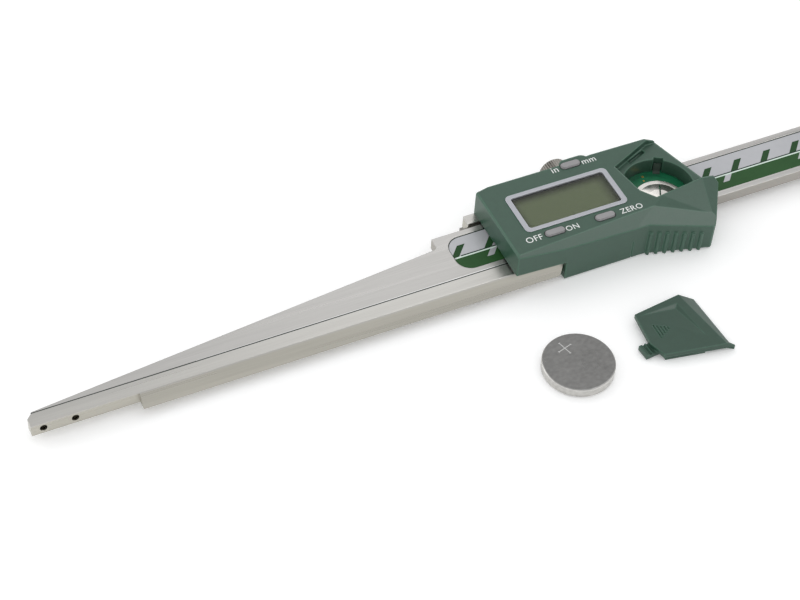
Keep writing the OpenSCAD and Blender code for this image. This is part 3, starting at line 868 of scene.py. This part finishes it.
def detail_board(paints: Paints) -> None:
    """Curved traces and two gold pads on the board inside the well.

    Args:
        paints: the material store.
    """
    trim = Trim(paints, Body.SLIDER, "board_green")
    top = node_span("circuit_board")[1].z
    well = (20.8, -2.6)
    count, least, pitch, width = 7, 8.4, 0.28, 0.12
    traces = []
    for index in range(count):
        radius = least + pitch * index
        start, stop = math.radians(40 + 9 * index), math.radians(118 + 5 * index)
        traces.append(arc(well, radius + width, start, stop) + arc(well, radius, stop, start))
    trim.plates("board_traces", traces, top, top + 0.02, TRACE)
    pads = [rect(20.8, 5.7, 21.5, 6.4), rect(20.4, 4.2, 20.9, 4.7)]
    trim.plates("board_pads", pads, top, top + 0.03, GOLD)


def detail_cell(paints: Paints) -> None:
    """Plus mark with small end serifs on the loose coin cell.

    Each bar lies a hair above the one before it, so no two faces share a plane.

    Args:
        paints: the material store.
    """
    trim = Trim(paints, Body.CELL, "cell_steel")
    low, high = node_span("cell_can")
    centre = ((low.x + high.x) / 2 - 1.35, (low.y + high.y) / 2 + 5.5)
    half, thin, serif, serif_thin = 2.2, 0.11, 0.3, 0.07
    tilt, step = 16.0, 0.002
    bars = [rect(-half, -thin, half, thin), rect(-thin, -half, thin, half)]
    for end in (-half, half):
        bars.append(rect(end - serif_thin, -serif, end + serif_thin, serif))
        bars.append(rect(-serif, end - serif_thin, serif, end + serif_thin))
    for index, bar in enumerate(bars):
        rise = PRINT + step * index
        trim.plates(f"cell_plus_{index}", [turned(bar, centre, tilt)], high.z - 0.01, high.z + rise, SHINE)


def camera_at_photo() -> None:
    """Camera at the photograph's place and angle.

    The forward direction's x is the azimuth's sine times the elevation's
    cosine, its y the azimuth's cosine times the elevation's cosine, and its z
    minus the elevation's sine. Right and up turn about it by the roll.
    """
    azimuth, elevation, roll = 0.484, 0.846, 0.069
    place = Vector((-0.23084, -0.32906, 0.41442))
    flat = math.cos(elevation)
    forward = Vector((math.sin(azimuth) * flat, math.cos(azimuth) * flat, -math.sin(elevation)))
    right = Vector((math.cos(azimuth), -math.sin(azimuth), 0.0))
    up = right.cross(forward)
    c, s = math.cos(roll), math.sin(roll)
    right, up = c * right + s * up, -s * right + c * up
    turn = Matrix((right, up, -forward)).transposed()
    data = bpy.data.cameras.new("photo_camera")
    data.lens = 90.62
    data.sensor_width = 36.0
    data.clip_start = 0.01
    data.clip_end = 10.0
    camera = bpy.data.objects.new("photo_camera", data)
    camera.matrix_world = Matrix.Translation(place) @ turn.to_4x4()
    bpy.context.scene.collection.objects.link(camera)
    bpy.context.scene.camera = camera


@dataclass(frozen=True)
class Lamp:
    """A rectangular lamp that points at the frame's origin.

    Attributes:
        name: the lamp's name.
        place: its middle in metres.
        wide: its width.
        deep: its height.
        power: watts.
        diffuse: whether matt surfaces see its light too.
    """

    name: str
    place: tuple[float, float, float]
    wide: float
    deep: float
    power: float
    diffuse: bool = True


LAMPS = (
    Lamp("lamp_broad", (0.31, 0.66, 0.90), wide=0.34, deep=0.8, power=0.5),
    Lamp("lamp_left", (-0.66, 0.50, 0.34), wide=0.6, deep=0.6, power=1.2),
    Lamp("lamp_right", (0.72, 0.84, 0.22), wide=0.6, deep=0.5, power=1.2, diffuse=False),
    Lamp("lamp_near", (0.52, -0.34, 0.86), wide=0.6, deep=0.6, power=3.6, diffuse=False),
)


def surround_white() -> None:
    """White surround, brightest in view, darker as light and darkest in reflections."""
    world = bpy.data.worlds.new("studio")
    bpy.context.scene.world = world
    graph = NodeGraph(world)
    graph.tree.nodes.clear()
    out = graph.add("OutputWorld")
    seen, lit, mirrored = (graph.add("Background") for _ in range(3))
    for node, level in ((seen, 1.04), (lit, 0.95), (mirrored, 0.80)):
        node.inputs["Color"].default_value = (0.99, 0.995, 1.0, 1.0)
        node.inputs["Strength"].default_value = level
    rays = graph.add("LightPath").outputs
    direct = graph.math("MAXIMUM", rays["Is Camera Ray"], rays["Is Transmission Ray"])
    shader = lit.outputs[0]
    for share, other in ((rays["Is Glossy Ray"], mirrored.outputs[0]), (direct, seen.outputs[0])):
        choice = graph.add("MixShader")
        for value, target in zip((share, shader, other), choice.inputs):
            graph.feed(value, target)
        shader = choice.outputs[0]
    graph.feed(shader, out.inputs["Surface"])


def light_studio() -> None:
    """White surround and soft lamps, two of them for glossy surfaces only."""
    surround_white()
    for lamp in LAMPS:
        data = bpy.data.lights.new(lamp.name, "AREA")
        data.shape = "RECTANGLE"
        data.size = lamp.wide
        data.size_y = lamp.deep
        data.energy = lamp.power
        obj = bpy.data.objects.new(lamp.name, data)
        turn = (-Vector(lamp.place)).to_track_quat("-Z", "Y").to_matrix().to_4x4()
        obj.matrix_world = Matrix.Translation(lamp.place) @ turn
        obj.visible_diffuse = lamp.diffuse
        bpy.context.scene.collection.objects.link(obj)


def lay_floor() -> None:
    """Plain white floor, a hair under the gauge."""
    half, drop = 3.0, 0.00002
    grid = bmesh.new()
    bmesh.ops.create_grid(grid, x_segments=2, y_segments=2, size=half)
    mesh = bpy.data.meshes.new("floor")
    grid.to_mesh(mesh)
    grid.free()
    mesh.transform(Matrix.Translation((0.0, 0.0, -drop)))
    floor = bpy.data.objects.new("floor", mesh)
    bpy.context.scene.collection.objects.link(floor)
    graph = NodeGraph(bpy.data.materials.new("floor_white"))
    inputs = graph.shader.inputs
    inputs["Base Color"].default_value = (0.97, 0.97, 0.97, 1.0)
    inputs["Specular IOR Level"].default_value = 0.1
    inputs["Emission Color"].default_value = (1.0, 1.0, 1.0, 1.0)
    inputs["Emission Strength"].default_value = 0.13
    graph.feed(graph.spread(graph.noise(even(40.0)), 0.75, 0.85), inputs["Roughness"])
    mesh.materials.append(graph.owner)


def main() -> None:
    """Dresses the frame, adds the trim and sets up the studio."""
    logging.basicConfig(level=logging.INFO)
    camera_at_photo()
    light_studio()
    lay_floor()
    paints = Paints()
    paints.dress_frame()
    print_scale(paints)
    mark_gap(paints)
    print_words(paints)
    line_buttons(paints)
    detail_board(paints)
    detail_cell(paints)
    bpy.context.scene.view_settings.view_transform = "Standard"


if __name__ == "__main__":
    main()
